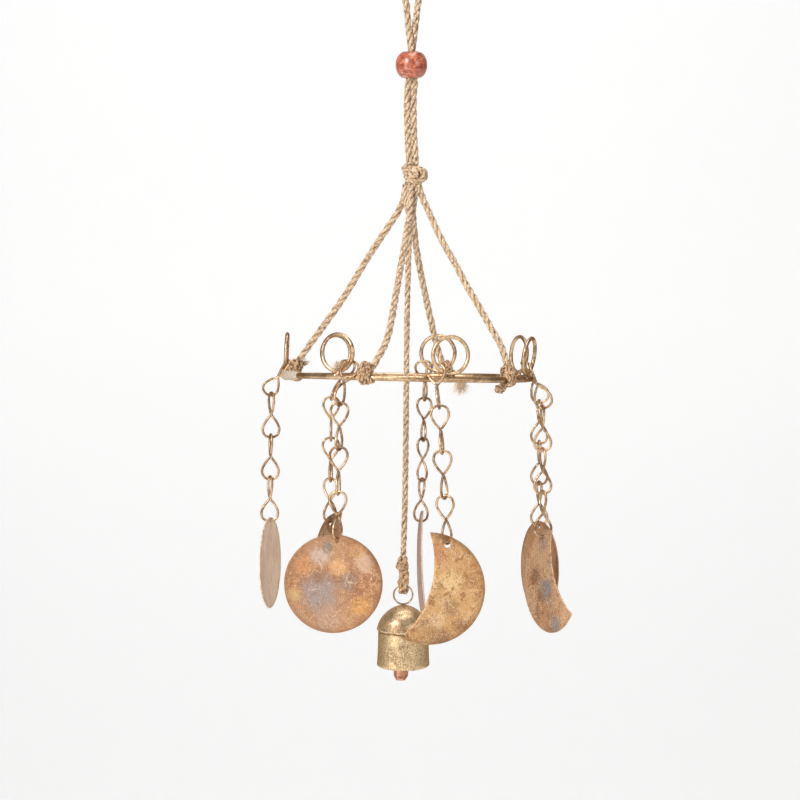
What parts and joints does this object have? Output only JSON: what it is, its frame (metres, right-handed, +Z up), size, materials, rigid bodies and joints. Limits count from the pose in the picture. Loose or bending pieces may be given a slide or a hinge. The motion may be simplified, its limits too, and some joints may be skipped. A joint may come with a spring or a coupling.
{
  "type": "hanging mobile sculpture",
  "caption": "Hanging wind-chime mobile: a jute loop and bead above a brass hoop, with twisted-wire chains carrying copper moons and a small bell in the middle.",
  "frame": {"origin": "top of the hanging loop, where it rests on its hook", "axes": "+X to the right, +Y away from the viewer, +Z up; the mobile hangs down along -Z"},
  "size_m": [0.1845, 0.1943, 0.4373],
  "materials": {
    "brass_wire": "aged brass wire, lightly browned",
    "chain_wire": "aged brass wire, lightly browned",
    "copper_sheet": "copper sheet with a heat and weather patina",
    "brass_sheet": "brass sheet with a mottled brown patina",
    "bell_brass": "aged brass with brown mottling",
    "clapper_copper": "reddish copper, dull",
    "jute": "twisted natural jute, fuzzy",
    "bead_wood": "red-brown wood, polished"
  },
  "bodies": {
    "root": {"hoop": "brass_wire", "hanger_ring_1": "brass_wire", "hanger_ring_2": "brass_wire", "hanger_ring_3": "brass_wire", "hanger_ring_4": "brass_wire", "hanger_ring_5": "brass_wire", "hanger_ring_6": "brass_wire", "hanger_ring_7": "brass_wire", "chain_1_link_1": "chain_wire", "chain_1_link_2": "chain_wire", "chain_1_link_3": "chain_wire", "chain_1_link_4": "chain_wire", "chain_2_link_1": "chain_wire", "chain_2_link_2": "chain_wire", "chain_2_link_3": "chain_wire", "chain_2_link_4": "chain_wire", "chain_3_link_1": "chain_wire", "chain_3_link_2": "chain_wire", "chain_3_link_3": "chain_wire", "chain_3_link_4": "chain_wire", "chain_4_link_1": "chain_wire", "chain_4_link_2": "chain_wire", "chain_4_link_3": "chain_wire", "chain_4_link_4": "chain_wire", "chain_5_link_1": "chain_wire", "chain_5_link_2": "chain_wire", "chain_5_link_3": "chain_wire", "chain_5_link_4": "chain_wire", "chain_6_link_1": "chain_wire", "chain_6_link_2": "chain_wire", "chain_6_link_3": "chain_wire", "chain_6_link_4": "chain_wire", "chain_7_link_1": "chain_wire", "chain_7_link_2": "chain_wire", "chain_7_link_3": "chain_wire", "chain_7_link_4": "chain_wire", "moon_1_disc": "copper_sheet", "moon_2_crescent": "copper_sheet", "moon_3_disc": "copper_sheet", "moon_4_crescent": "copper_sheet", "moon_5_crescent": "brass_sheet", "moon_6_disc": "copper_sheet", "moon_7_crescent": "copper_sheet", "hanging_loop": "jute", "suspension_cord_left": "jute", "suspension_cord_front_left": "jute", "suspension_cord_back_right": "jute", "suspension_cord_right": "jute", "bell_cord": "jute", "top_knot": "jute", "hoop_knot_left": "jute", "hoop_knot_front_left": "jute", "hoop_knot_back_right": "jute", "hoop_knot_right": "jute", "bell_cord_knot": "jute", "bead": "bead_wood", "bell_body": "bell_brass", "bell_cap": "bell_brass", "clapper": "clapper_copper", "bell_ring": "brass_wire"}
  },
  "joints": []
}
